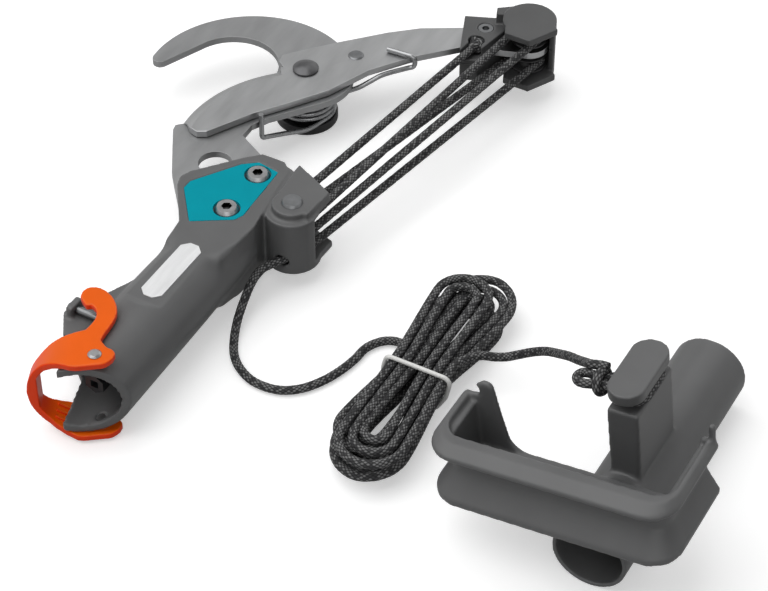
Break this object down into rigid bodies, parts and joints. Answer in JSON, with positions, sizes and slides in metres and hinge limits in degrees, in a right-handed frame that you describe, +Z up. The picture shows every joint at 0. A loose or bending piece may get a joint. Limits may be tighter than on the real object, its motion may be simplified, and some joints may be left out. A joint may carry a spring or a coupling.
{
  "type": "rope-operated lopping head",
  "caption": "Rope-pulled bypass lopping head for a pole: hooked plate, cutting lever, rope tackle, lock clip, tied rope hank and a winding grip.",
  "frame": {"origin": "on the pole socket's axis, where the round part of the locating stub begins", "axes": "+X along the socket towards the blades, +Y to the left, +Z up from the surface it lies on"},
  "size_m": [0.3735, 0.4111, 0.0868],
  "materials": {
    "body": "fine-grained moulded dark grey",
    "black_plastic": "smooth moulded black",
    "inlay": "satin turquoise moulding",
    "plaque": "bare satin plaque",
    "hook_steel": "satin grey plate",
    "lever_steel": "satin grey plate with a ground edge",
    "fastener": "bright zinc steel",
    "dark_fastener": "dark burnished steel",
    "spring_steel": "drawn spring wire",
    "clip": "glossy orange moulding",
    "sheave": "dark moulded sheave",
    "rope": "braided black rope with pale flecks",
    "tie": "white plastic tie"
  },
  "bodies": {
    "head": {"head_body": "body", "grip_frame": "body", "grip_post_cap": "body", "pole_stub": "black_plastic", "spring_cap": "black_plastic", "top_inlay": "inlay", "plaque": "plaque", "hook_plate": "hook_steel", "clamp_bolts": "fastener", "clamp_nuts": "fastener", "latch_pin": "fastener", "clip_rivets": "fastener", "body_axle_pin": "fastener", "pivot_bolt": "dark_fastener", "pivot_nut": "dark_fastener", "return_spring": "spring_steel", "spring_core": "spring_steel", "tackle_rope": "rope", "rope_lead": "rope", "rope_hank": "rope", "rope_tail": "rope", "rope_noose": "rope", "noose_knot": "rope", "hank_tie": "tie"},
    "lever": {"cutting_lever": "lever_steel", "stop_pin": "fastener", "block_upper": "body", "block_lower": "body", "block_screw": "fastener", "block_nut": "fastener", "lever_axle_pin": "fastener", "anchor_knot": "rope"},
    "clip": {"lock_clip": "clip"},
    "lever_sheave_upper": {"lever_sheave_upper": "sheave"},
    "lever_sheave_lower": {"lever_sheave_lower": "sheave"},
    "body_sheave_top": {"body_sheave_top": "sheave"},
    "body_sheave_middle": {"body_sheave_middle": "sheave"},
    "body_sheave_bottom": {"body_sheave_bottom": "sheave"}
  },
  "joints": [
    {"name": "lever_hinge", "type": "hinge", "parent": "head", "child": "lever", "pos_m": [0.248, 0.032, 0], "axis": [0, 0, -1], "range_deg": [0, 66], "stiffness_Nm_per_rad": 0.8, "springref_deg": -17.19, "deforming": ["return_spring", "tackle_rope"]},
    {"name": "clip_hinge", "type": "hinge", "parent": "head", "child": "clip", "pos_m": [-0.0115, -0.005, 0], "axis": [0, 0, -1], "range_deg": [0, 32]},
    {"name": "lever_sheave_upper_spin", "type": "hinge", "parent": "lever", "child": "lever_sheave_upper", "pos_m": [0.3299, -0.0647, 0], "axis": [0, 0, 1], "range_deg": [-1829, 0]},
    {"name": "lever_sheave_lower_spin", "type": "hinge", "parent": "lever", "child": "lever_sheave_lower", "pos_m": [0.3299, -0.0647, 0], "axis": [0, 0, 1], "range_deg": [-3664, 0]},
    {"name": "body_sheave_top_spin", "type": "hinge", "parent": "head", "child": "body_sheave_top", "pos_m": [0.1326, -0.0279, 0], "axis": [0, 0, 1], "range_deg": [0, 918]},
    {"name": "body_sheave_middle_spin", "type": "hinge", "parent": "head", "child": "body_sheave_middle", "pos_m": [0.1326, -0.0279, 0], "axis": [0, 0, 1], "range_deg": [-2747, 0]},
    {"name": "body_sheave_bottom_spin", "type": "hinge", "parent": "head", "child": "body_sheave_bottom", "pos_m": [0.1326, -0.0279, 0], "axis": [0, 0, 1], "range_deg": [-4575, 0]}
  ],
  "couplings": [
    {"joint": "lever_sheave_upper_spin", "follows": "lever_hinge", "ratio": -27.7},
    {"joint": "lever_sheave_lower_spin", "follows": "lever_hinge", "ratio": -55.5},
    {"joint": "body_sheave_top_spin", "follows": "lever_hinge", "ratio": 13.9},
    {"joint": "body_sheave_middle_spin", "follows": "lever_hinge", "ratio": -41.6},
    {"joint": "body_sheave_bottom_spin", "follows": "lever_hinge", "ratio": -69.3}
  ]
}
